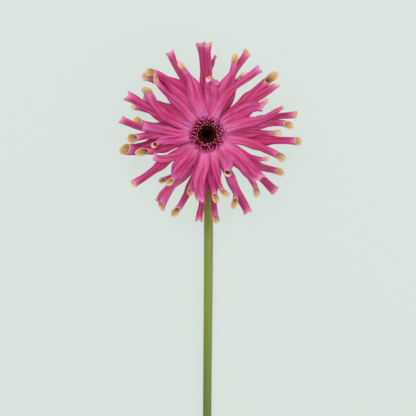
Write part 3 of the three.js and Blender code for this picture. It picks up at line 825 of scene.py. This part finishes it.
def colour_setting(name, about, *levels):
    """A colour that the user may change, with its default as picked on a screen."""
    return bpy.props.FloatVectorProperty(
        name=name, description=about, subtype="COLOR", size=4, default=tint(*levels)
    )


def count_setting(name, about, usual, fewest):
    """A number of things that the user may change."""
    return bpy.props.IntProperty(name=name, description=about, default=usual, min=fewest)


def size_setting(name, about, metres):
    """A length that the user may change."""
    return bpy.props.FloatProperty(name=name, description=about, default=metres, unit="LENGTH")


class RaySettings(bpy.types.PropertyGroup):
    """Sizes and colours of the ray florets"""

    thickness: size_setting("Thickness", "Thickness of a floret", 0.32 * MM)
    rows: count_setting("Rows", "Rows of points along a floret", 44, 8)
    columns: count_setting("Columns", "Columns of points across a floret", 25, 7)
    # Strength of a painted glow: the petals give off light in their own colour, which lifts the
    # shade between the florets and stands in for light through the tissue
    through: bpy.props.FloatProperty(
        name="Light through", description="Light that shines through the tissue", default=0.12
    )
    pink: colour_setting("Pink", "Its face", 207, 57, 118)
    throat: colour_setting("Throat", "Its face near the disc", 219, 101, 163)
    tube: colour_setting("Tube", "Its face where it is rolled", 196, 66, 138)
    # Painted shade on the sides of the rolled tube
    side: colour_setting("Side", "Its face towards its edges", 176, 46, 116)
    # Pale streaks and paler tones of the florets' own, used also as a painted sheen towards their
    # ends
    light_streak_and_sheen: colour_setting("Light streak", "Pale lengthwise streaks", 228, 110, 164)
    # Deep streaks and darker tones of the florets' own, used also as painted shade along the
    # creases and over the back whorls
    dark_streak_and_shade: colour_setting("Dark streak", "Deep lengthwise streaks", 154, 24, 66)
    mauve: colour_setting("Mauve", "Cooler patches of the face", 188, 70, 142)
    mauve_line: colour_setting("Mauve line", "Fine lines near the disc", 218, 150, 190)
    gold: colour_setting("Gold", "Inside of the tube's mouth", 208, 170, 116)
    cream: colour_setting("Cream", "The same where it is less golden", 238, 204, 182)
    # Painted shade deep inside the tube
    hollow: colour_setting("Hollow", "Deep inside the tube", 124, 76, 44)
    rim: colour_setting("Rim", "Along the tube's rim", 242, 212, 170)
    # Painted shade inside the tubes that are marked deep
    hollow_shadow: colour_setting("Dark hollow", "Inside of the darkest tubes", 104, 36, 34)
    pale_end: colour_setting("Pale end", "The last of the face before its end", 240, 160, 200)
    crimson: colour_setting("Crimson", "Warmer patches of the face", 196, 34, 92)
    back: colour_setting("Back", "The back of the strap", 190, 110, 112)


class DiscSettings(bpy.types.PropertyGroup):
    """Counts and colours of the disc's florets"""

    buds: count_setting("Buds", "Unopened buds", 150, 20)
    open_florets: count_setting("Open florets", "Open florets round the buds", 64, 20)
    trans_florets: count_setting("Rim florets", "Strap-lobed florets at the disc's rim", 118, 30)
    bud: colour_setting("Bud", "The buds", 52, 12, 16)
    bud_tip: colour_setting("Bud tip", "The tips of the buds", 112, 40, 40)
    bud_shade: colour_setting("Bud shade", "The buds' feet, and the youngest buds", 3, 0, 0)
    # The florets' feet: partly their own colour and partly painted shade down between them
    maroon: colour_setting("Maroon", "The feet of the florets", 82, 4, 30)
    rust: colour_setting("Rust", "The open florets under their pollen", 136, 22, 54)
    gold: colour_setting("Gold", "Pollen tips", 252, 172, 168)
    rose: colour_setting("Rose", "The tips that carry no pollen", 190, 66, 106)
    purple: colour_setting("Purple", "The lobes at the disc's rim", 194, 24, 122)
    # Painted highlight on the curled tips of the rim lobes
    lilac_highlight: colour_setting("Lilac", "The tips of those lobes", 240, 136, 182)
    crimson: colour_setting("Crimson", "The deeper ones of those lobes", 166, 12, 84)
    violet: colour_setting("Violet", "The ends of the long styles", 204, 104, 196)


class GreenSettings(bpy.types.PropertyGroup):
    """Sizes and colours of the cup and the stem"""

    bracts: count_setting("Bracts", "Bracts in a row on the cup", 17, 5)
    cup: colour_setting("Cup", "The cup and the feet of its bracts", 104, 132, 62)
    bract_light: colour_setting("Bract light", "The bracts further up", 126, 150, 78)
    bract_shade: colour_setting("Bract shade", "Their deeper patches", 78, 104, 44)
    bract_pale: colour_setting("Bract pale", "The palest bracts", 146, 162, 92)
    bract_tip: colour_setting("Bract tip", "The tips of the bracts", 126, 92, 70)
    cup_down: colour_setting("Cup down", "The down on the cup and bracts", 196, 206, 170)
    neck: colour_setting("Neck", "The stem near the bloom", 132, 144, 62)
    stem: colour_setting("Stem", "The stem further down", 132, 150, 46)
    stem_shade: colour_setting("Stem shade", "Its deeper streaks and lower end", 92, 112, 30)
    stem_down: colour_setting("Stem down", "The down on the stem", 206, 214, 176)
    pith: colour_setting("Pith", "The cut end", 206, 216, 160)


class StageSettings(bpy.types.PropertyGroup):
    """The floor, the lights and the view"""

    floor: colour_setting("Floor", "The floor's own colour", 219, 229, 223)
    glow: bpy.props.FloatProperty(
        name="Glow", description="How much of the floor's colour needs no light", default=0.85
    )
    view_width: size_setting("View width", "Width of the view at the bloom", 0.2496)
    view_height: size_setting("View height", "Height of the camera over the bloom", 1.4)
    sky: bpy.props.FloatProperty(
        name="Sky", description="Strength of the even light", default=0.45
    )
    key: bpy.props.FloatProperty(
        name="Key", description="Power of the main light", default=4.8, unit="POWER"
    )


class GERBERA_OT_ray_florets(bpy.types.Operator):
    """Add the ray florets, one piece for each whorl, and the collar that they grow from"""

    bl_idname = "gerbera.ray_florets"
    bl_label = "Ray florets"

    def execute(self, context):
        settings = context.scene.gerbera_rays
        material = petal_finish(settings)
        skins = [Skin(*PETAL_MARKS) for _ in WHORLS]
        for floret, lift in lay_florets():
            outer, inner, share, across, to_end = floret.surface(
                settings.rows, settings.columns, settings.thickness / MM, lift
            )
            points, faces = shell(outer, inner)
            given = floret.given
            skins[given["whorl"]].add(
                points,
                faces,
                share=np.tile(share.ravel(), 2),
                across=np.tile(across.ravel(), 2),
                inside=np.repeat([0.0, 1.0], share.size),
                to_end=np.tile(to_end.ravel(), 2),
                seed=floret.seed,
                mouth=1.0 if given["end"] in ("spoon", "pointed") else 0.0,
                gilt=given["gilt"],
                # How much painted shade darkens the tube's inside
                deep=given["deep"],
                # The back whorls are marked for painted shade under the florets over them
                under=1 - given["whorl"] / INNER,
                crease=np.tile(floret.crease(share, across).ravel(), 2),
            )
        for name, skin in zip(WHORL_NAMES, skins):
            skin.piece(f"ray_florets_{name}", material, "ray_petal", "ray_florets")
        self.collar(context)
        return {"FINISHED"}

    def collar(self, context):
        """The tissue under the disc that the ray florets grow from."""
        greens = context.scene.gerbera_greens
        height = DISC_BOTTOM - SEAT_GAP - COLLAR_BOTTOM
        profile = ((0, 0), (8.4, 0), (9.4, 1.4), (9.0, 3.4), (8.2, height), (0, height))
        skin = Skin("share", "seed")
        skin.add(*turned([(r, COLLAR_BOTTOM + z) for r, z in profile], 48), share=0.5)
        material = floret_finish("collar", (greens.cup, greens.pith, greens.pith), greens.pith)
        skin.piece("collar", material, "green_bract")


class GERBERA_OT_trans_florets(bpy.types.Operator):
    """Add the strap-lobed florets that ring the disc"""

    bl_idname = "gerbera.trans_florets"
    bl_label = "Rim florets"

    def execute(self, context):
        settings = context.scene.gerbera_disc
        skin = Skin("share", "seed")
        low = DISC_BOTTOM
        top = low + TRANS_BED
        inner = OPEN_RADIUS + SEAT_GAP
        profile = (
            (0, low), (TRANS_RADIUS - 0.4, low), (TRANS_RADIUS, low + 0.6),
            (TRANS_RADIUS - 0.6, top), (inner, top), (inner - 0.6, low + 0.3), (0, low + 0.3),
        )
        skin.add(*turned(profile, 60), share=0.0)
        draw = draws(11)
        for angle, radius, share in spread(settings.trans_florets, inner + 0.4, TRANS_RADIUS - 0.3):
            self.floret(skin, draw, angle, radius, share, top)
        for angle, reach in STRANDS:
            self.strand(skin, angle, reach, top)
        # Maroon feet, partly the florets' own colour and partly painted shade between them, and
        # tips with a painted highlight
        colours = (settings.maroon, settings.purple, settings.lilac_highlight)
        material = floret_finish(
            "purple_floret", colours, settings.crimson, beyond=settings.violet
        )
        skin.piece("trans_florets_dressed", material, "purple_floret", "trans_florets")
        return {"FINISHED"}

    def floret(self, skin, draw, angle, radius, share, top):
        """A tube with one long lobe that leans out, and two thin ones behind it."""
        lean = 8 + 54 * share + draw.uniform(-14, 12)
        along, out = leaning(angle, lean)
        twist = math.radians(draw.uniform(-60, 60))
        out = out * math.cos(twist) + np.cross(along, out) * math.sin(twist)
        foot = spot(angle + draw.uniform(-2, 2), radius, top - 0.5)
        seed = draw.uniform()
        height = 1.0 + 0.9 * draw.uniform()
        neck = stalk(foot, along * height, (0, 0.5, 1), (0.16, 0.18, 0.26), sides=7)
        skin.grow(neck, 0, 0.3, seed)
        mouth = foot + along * height * 0.92
        length = 1.1 + 1.2 * share + draw.uniform(-0.2, 0.6)
        width = draw.uniform(0.55, 0.8)
        strap = lobe(
            mouth, along + out * 0.7, -out, length, width, thickness=0.12, curl=80, point=0.4
        )
        skin.grow(strap, 0.15, 1, seed)
        thin = {"length": 0.55, "width": 0.26, "thickness": 0.08, "curl": 60}
        for turn in (-1, 1):
            way = along - out * 0.5 + np.cross(along, out) * 0.7 * turn
            skin.grow(lobe(mouth, way, out, **thin, rows=5, columns=3), 0.4, 1, seed)

    def strand(self, skin, angle, reach, top):
        """A long thin style that lies out over the ray florets, thicker towards its end."""
        times = np.linspace(0, 1, 9)
        heights = top + 1.6 * np.sin(times * 2.2)
        line = [spot(angle + 3 * t, mix(9.0, reach, t), z) for t, z in zip(times, heights)]
        radii = 0.24 + 0.4 * smooth(times, 0.6, 0.9)
        skin.grow(tube(line, radii, sides=8), 0.5, 2, 0)


class GERBERA_OT_open_florets(bpy.types.Operator):
    """Add the open disc florets with their pollen tips"""

    bl_idname = "gerbera.open_florets"
    bl_label = "Open florets"

    def execute(self, context):
        settings = context.scene.gerbera_disc
        skin = Skin("share", "seed")
        low = DISC_BOTTOM + 0.4
        top = DISC_BOTTOM + OPEN_BED
        inner = BUD_RADIUS + SEAT_GAP
        profile = (
            (0, low), (OPEN_RADIUS, low), (OPEN_RADIUS, top - 0.2), (OPEN_RADIUS - 0.3, top),
            (inner, top - 0.2), (inner - 0.3, low + 0.2), (0, low + 0.2),
        )
        skin.add(*turned(profile, 60), share=0.0)
        draw = draws(23)
        for angle, radius, share in spread(settings.open_florets, inner + 0.1, OPEN_RADIUS - 0.1):
            self.floret(skin, draw, angle, radius, share, top)
        colours = (settings.maroon, settings.rust, settings.gold)
        material = floret_finish("gold_floret", colours, settings.rose, turns=(0.5, 0.85))
        skin.piece("open_disc_florets_dressed", material, "gold_floret", "open_disc_florets")
        return {"FINISHED"}

    def floret(self, skin, draw, angle, radius, share, top):
        """A tube with five small lobes and, standing out of it, the column that carries pollen."""
        along, face = leaning(angle + draw.uniform(-6, 6), 24 * share + draw.uniform(-10, 16))
        foot = spot(angle, radius, top - 0.4)
        seed = draw.uniform()
        height = 0.9 + 0.8 * draw.uniform()
        neck = stalk(foot, along * height, (0, 0.4, 0.8, 1), (0.18, 0.2, 0.26, 0.2), sides=7)
        skin.grow(neck, 0, 0.45, seed)
        small = {"length": 0.5, "width": 0.22, "thickness": 0.07, "curl": 60}
        for turn in np.arange(5) * 2 * math.pi / 5 + draw.uniform(0, 6):
            way = face * math.cos(turn) + np.cross(along, face) * math.sin(turn)
            mouth = foot + along * height * 0.85 + way * 0.18
            part = lobe(mouth, along + way * 0.7, -way, **small, rows=4, columns=3)
            skin.grow(part, 0.3, 0.55, seed)
        lean = along + face * draw.uniform(-0.5, 0.5)
        lean = lean + np.cross(along, face) * draw.uniform(-0.5, 0.5)
        throat = foot + along * (height - 0.3)
        stations = (0, 0.4, 0.75, 1.05, 1.2)
        column = stalk(throat, lean, stations, (0.13, 0.19, 0.3, 0.28, 0.1), sides=7)
        skin.grow(column, 0.5, 1, seed)


class GERBERA_OT_disc_buds(bpy.types.Operator):
    """Add the dark unopened buds in the middle of the disc"""

    bl_idname = "gerbera.disc_buds"
    bl_label = "Buds"

    def execute(self, context):
        settings = context.scene.gerbera_disc
        skin = Skin("share", "seed")
        low = DISC_BOTTOM + 0.7
        top = DISC_BOTTOM + BUD_BED
        profile = (
            (0, low), (BUD_RADIUS, low), (BUD_RADIUS, top - 0.4), (BUD_RADIUS - 0.6, top),
            (BUD_RADIUS - 2.4, top - 0.1), (0, top - 0.5),
        )
        skin.add(*turned(profile, 48), share=0.0)
        draw = draws(37)
        stations = (0, 0.35, 0.62, 0.82, 0.95, 1)
        swelling = np.array([0.6, 0.9, 1, 0.8, 0.42, 0.1])
        for angle, radius, share in spread(settings.buds, 0, BUD_RADIUS - 0.15):
            along, _ = leaning(angle, -14 + 22 * share + draw.uniform(-5, 5))
            inward = 1 - radius / BUD_RADIUS
            foot = spot(angle, radius, top - 0.5 - 0.5 * inward)
            height = 1.0 + 0.55 * share + 0.15 * draw.uniform()
            radii = (0.3 + 0.08 * draw.uniform()) * swelling
            bud = stalk(foot, along * height, stations, radii, sides=8)
            youth = 0.22 + inward + draw.uniform(-0.15, 0.15)
            skin.grow(bud, 0, 1, youth)
        colours = (settings.bud_shade, settings.bud, settings.bud_tip)
        material = floret_finish(
            "dark_bud", colours, settings.bud_shade, turns=(0.5, 1.0), rough=0.8, shine=0.04
        )
        skin.piece("disc_buds_dressed", material, "dark_bud", "disc_buds")
        return {"FINISHED"}


class GERBERA_OT_involucre(bpy.types.Operator):
    """Add the green cup with its rows of narrow bracts"""

    bl_idname = "gerbera.involucre"
    bl_label = "Cup and bracts"

    def execute(self, context):
        settings = context.scene.gerbera_greens
        skin = Skin("share", "seed")
        height = CUP_TOP - CUP_BOTTOM
        profile = (
            (0, 0), (3.0, 0), (3.6, 0.25), (4.6, 0.95), (5.9, 2.0), (7.1, 3.3), (8.1, 4.9),
            (8.8, 6.6), (9.3, 8.4), (9.6, height - 0.3), (9.2, height), (0, height),
        )
        skin.add(*turned([(r, CUP_BOTTOM + z) for r, z in profile], 64), share=0.15)
        draw = draws(53)
        for row, given in enumerate(BRACT_ROWS):
            for k in range(settings.bracts):
                angle = (k + 0.37 * row) * 360 / settings.bracts + draw.uniform(-3, 3)
                along, out = leaning(angle, given["lean"] + draw.uniform(-3, 3))
                foot = spot(angle, given["foot"][0], CUP_BOTTOM + given["foot"][1])
                length = given["length"] * draw.uniform(0.92, 1.05)
                bract = lobe(
                    foot, along, out, length, given["width"],
                    thickness=0.28, curl=-26, point=0.04, rows=12, columns=7,
                )
                skin.grow(bract, 0, 1, draw.uniform())
        skin.piece("involucre_dressed", self.finish(settings), "green_bract", "involucre")
        return {"FINISHED"}

    def finish(self, settings):
        """Patchy green under pale down, brown at the tips."""
        sketch = Sketch("green_bract")
        share = sketch.mark("share")
        seed = sketch.mark("seed")
        grain = sketch.noise(sketch.place(), 700.0, 3.0)
        down = sketch.noise(sketch.place(), 2600.0, 2.0)
        colour = sketch.layers(
            settings.cup,
            (sketch.between(share, 0.2, 0.8), settings.bract_light),
            (sketch.between(grain, 0.4, 0.7) * 0.5, settings.bract_shade),
            (sketch.between(share, 0.84, 1.0) * 0.8, settings.bract_tip),
            (sketch.between(seed, 0.3, 1.0) * 0.25, settings.bract_pale),
            (sketch.between(down, 0.56, 0.66) * 0.3, settings.cup_down),
        )
        normal = sketch.bump(grain + down * 0.5, 0.4, 0.0002)
        return sketch.finish(Base_Color=colour, Roughness=0.7, Normal=normal, Sheen_Weight=0.25)


class GERBERA_OT_stem(bpy.types.Operator):
    """Add the leafless stem from the cup to its cut end"""

    bl_idname = "gerbera.stem"
    bl_label = "Stem"

    neck_radius = 2.85
    middle_radius = 2.55
    cut_radius = 2.8
    neck_bend = 11.5
    sides = 40
    ribs = 10
    rib_depth = 0.012
    off_surface = 0.04
    # The lying stem sways sideways, in waves of twice this length, and less and less further down
    sway = 1.15
    sway_length = 150
    sway_fades = 130
    # The rings of the cut end's bore: their size as a share of the cut's, and how deep they lie
    bore = ((0.9, 0.12), (0.5, 0.3), (0.44, 4))

    def execute(self, context):
        settings = context.scene.gerbera_greens
        length = AXIS[1] / MM - STEM_LOW[1] / MM
        side = np.array([1.0, 0, 0])
        turns = (np.arange(self.sides) + 0.5) * 2 * math.pi / self.sides
        rings = []
        for place, ahead, radius in zip(*self.course(length)):
            over = np.cross(ahead, side)
            ribbed = (radius * (1 + self.rib_depth * np.cos(turns * self.ribs)))[:, None]
            circle = np.outer(np.cos(turns), side) + np.outer(np.sin(turns), over)
            rings.append(place + ribbed * circle)
        middle = rings[-1].mean(axis=0)
        hollow = [mix(middle, rings[-1], size) + [0, deep, 0] for size, deep in self.bore]
        points, faces = loft([*rings, *hollow])
        share = np.repeat(np.concatenate([np.linspace(0, 1, len(rings)), [1, 1, 1]]), self.sides)
        pith = np.repeat(np.concatenate([np.zeros(len(rings)), [1, 1, 0.4]]), self.sides)
        around = np.tile(np.arange(self.sides) / self.sides, len(rings) + 3)
        skin = Skin("share", "pith", "around")
        skin.add(points, faces, share=share, pith=pith, around=around)
        skin.piece("stem_dressed", self.finish(settings), "green_stem", "stem")
        return {"FINISHED"}

    def course(self, length):
        """The stem's centres, directions and radii, down its neck and along the surface."""
        turns = np.linspace(0, math.pi / 2, 14)
        bend_y = -self.neck_bend * (1 - np.cos(turns))
        bend_z = self.neck_radius + self.neck_bend * (1 - np.sin(turns))
        share = np.linspace(0, 1, 91)[1:]
        slim = mix(self.neck_radius, self.middle_radius, smooth(share, 0, 0.45))
        lying = mix(slim, self.cut_radius, smooth(share, 0.6, 1))
        y = np.concatenate([bend_y, mix(-self.neck_bend, -length, share)])
        z = np.concatenate([bend_z, lying + self.off_surface])
        radii = np.concatenate([np.full(len(turns), self.neck_radius), lying])
        tilt = np.concatenate([turns, np.full(len(share), math.pi / 2)])
        x = self.sway * np.sin(-y * math.pi / self.sway_length) * np.exp(y / self.sway_fades)
        centres = np.stack([x, y, z], axis=1)
        aheads = np.stack([np.zeros_like(tilt), -np.sin(tilt), -np.cos(tilt)], axis=1)
        return centres, aheads, radii

    def finish(self, settings):
        """Streaked green under pale down, with a pale cut end."""
        sketch = Sketch("green_stem")
        share = sketch.mark("share")
        pith = sketch.mark("pith")
        around = sketch.mark("around")
        streaks = sketch.noise(sketch.point(around * 30, share * 9, 0.0), 1.6, 3.0)
        patches = sketch.noise(sketch.place(), 60.0, 2.0)
        down = sketch.noise(sketch.place(), 2400.0, 2.0)
        colour = sketch.layers(
            settings.neck,
            (sketch.between(share, 0.1, 0.3), settings.stem),
            (sketch.between(share, 0.3, 0.52) * 0.85, settings.stem_shade),
            (sketch.between(share, 0.6, 1.0) * 0.7, settings.stem),
            (sketch.between(streaks, 0.5, 0.32) * 0.5, settings.stem_shade),
            (sketch.between(patches, 0.5, 0.7) * 0.3, settings.neck),
            (sketch.between(down, 0.58, 0.7) * 0.22, settings.stem_down),
            (sketch.between(pith, 0.2, 0.8), settings.pith),
        )
        normal = sketch.bump(streaks + down * 0.4, 0.35, 0.00025)
        return sketch.finish(Base_Color=colour, Roughness=0.58, Normal=normal, Sheen_Weight=0.2)


class GERBERA_OT_stage(bpy.types.Operator):
    """Add the floor, the lights and the camera over the bloom"""

    bl_idname = "gerbera.stage"
    bl_label = "Stage"

    # From the bloom's axis to the middle of the picture, in metres
    aim = (0.0004, -0.0441)
    floor_width = 14.0
    floor_depth = 0.0004
    # The width of the view is taken so far under the disc's bottom
    view_depth = 0.003
    # The second lamp's power as a share of the first one's
    fill_share = 0.85

    def execute(self, context):
        settings = context.scene.gerbera_stage
        self.floor(settings)
        self.lights(context, settings)
        self.camera(context, settings)
        context.scene.view_settings.view_transform = "Standard"
        return {"FINISHED"}

    def floor(self, settings):
        """A plain pale floor that glows a little, so that the shadows on it stay soft."""
        sketch = Sketch("floor")
        colour = tuple(settings.floor)
        dim = tuple(c * (1 - settings.glow) for c in colour[:3]) + (1.0,)
        grain = sketch.noise(sketch.place(), 300.0, 2.0)
        own = sketch.blend(grain * 0.03, dim, (0.0, 0.0, 0.0, 1.0))
        material = sketch.finish(
            Base_Color=own, Roughness=0.9, Emission_Color=colour, Emission_Strength=settings.glow,
            Specular_IOR_Level=0.1,
        )
        half = self.floor_width / 2
        mesh = bpy.data.meshes.new("floor")
        square = ((-half, -half), (half, -half), (half, half), (-half, half))
        corners = [(x, y, -self.floor_depth) for x, y in square]
        mesh.from_pydata(corners, [], [(0, 1, 2, 3)])
        mesh.materials.append(material)
        floor = bpy.data.objects.new("floor", mesh)
        bpy.context.collection.objects.link(floor)

    def lights(self, context, settings):
        """An even light all round and two large lamps over the bloom."""
        world = bpy.data.worlds.new("even_light")
        world.use_nodes = True
        background = world.node_tree.nodes["Background"].inputs
        background["Color"].default_value = (1.0, 1.0, 1.0, 1.0)
        background["Strength"].default_value = settings.sky
        context.scene.world = world
        bloom = Vector((AXIS[0], AXIS[1], DISC_BOTTOM * MM))
        fill = settings.key * self.fill_share
        self.lamp("key", bloom, Vector((-0.4, 0.5, 0.85)), size=0.5, power=settings.key)
        self.lamp("fill", bloom, Vector((0.75, -0.1, 0.75)), size=0.7, power=fill)

    def lamp(self, name, target, offset, size, power):
        """A square lamp that faces its target."""
        lamp = bpy.data.lights.new(name, "AREA")
        lamp.size = size
        lamp.energy = power
        made = bpy.data.objects.new(name, lamp)
        made.location = target + offset
        made.rotation_euler = (-offset).to_track_quat("-Z", "Y").to_euler()
        bpy.context.collection.objects.link(made)

    def camera(self, context, settings):
        """The view from straight above."""
        camera = bpy.data.cameras.new("view")
        camera.type = "PERSP"
        camera.sensor_width = 36.0
        camera.lens = camera.sensor_width * settings.view_height / settings.view_width
        made = bpy.data.objects.new("view", camera)
        height = DISC_BOTTOM * MM - self.view_depth + settings.view_height
        made.location = (AXIS[0] + self.aim[0], AXIS[1] + self.aim[1], height)
        bpy.context.collection.objects.link(made)
        context.scene.camera = made


class GERBERA_PT_panel(bpy.types.Panel):
    """The flower's operators, in the sidebar of the 3D view"""

    bl_label = "Gerbera"
    bl_idname = "GERBERA_PT_panel"
    bl_space_type = "VIEW_3D"
    bl_region_type = "UI"
    bl_category = "Gerbera"

    def draw(self, context):
        for operator in OPERATORS:
            self.layout.operator(operator.bl_idname)


SETTINGS = {
    "gerbera_rays": RaySettings,
    "gerbera_disc": DiscSettings,
    "gerbera_greens": GreenSettings,
    "gerbera_stage": StageSettings,
}
OPERATORS = (
    GERBERA_OT_ray_florets,
    GERBERA_OT_trans_florets,
    GERBERA_OT_open_florets,
    GERBERA_OT_disc_buds,
    GERBERA_OT_involucre,
    GERBERA_OT_stem,
    GERBERA_OT_stage,
)


def register():
    for kind in (*SETTINGS.values(), *OPERATORS, GERBERA_PT_panel):
        bpy.utils.register_class(kind)
    for name, kind in SETTINGS.items():
        setattr(bpy.types.Scene, name, bpy.props.PointerProperty(type=kind))


def unregister():
    for name in SETTINGS:
        delattr(bpy.types.Scene, name)
    for kind in reversed((*SETTINGS.values(), *OPERATORS, GERBERA_PT_panel)):
        bpy.utils.unregister_class(kind)


def main():
    register()
    bpy.ops.gerbera.ray_florets()
    bpy.ops.gerbera.trans_florets()
    bpy.ops.gerbera.open_florets()
    bpy.ops.gerbera.disc_buds()
    bpy.ops.gerbera.involucre()
    bpy.ops.gerbera.stem()
    bpy.ops.gerbera.stage()


if __name__ == "__main__":
    main()
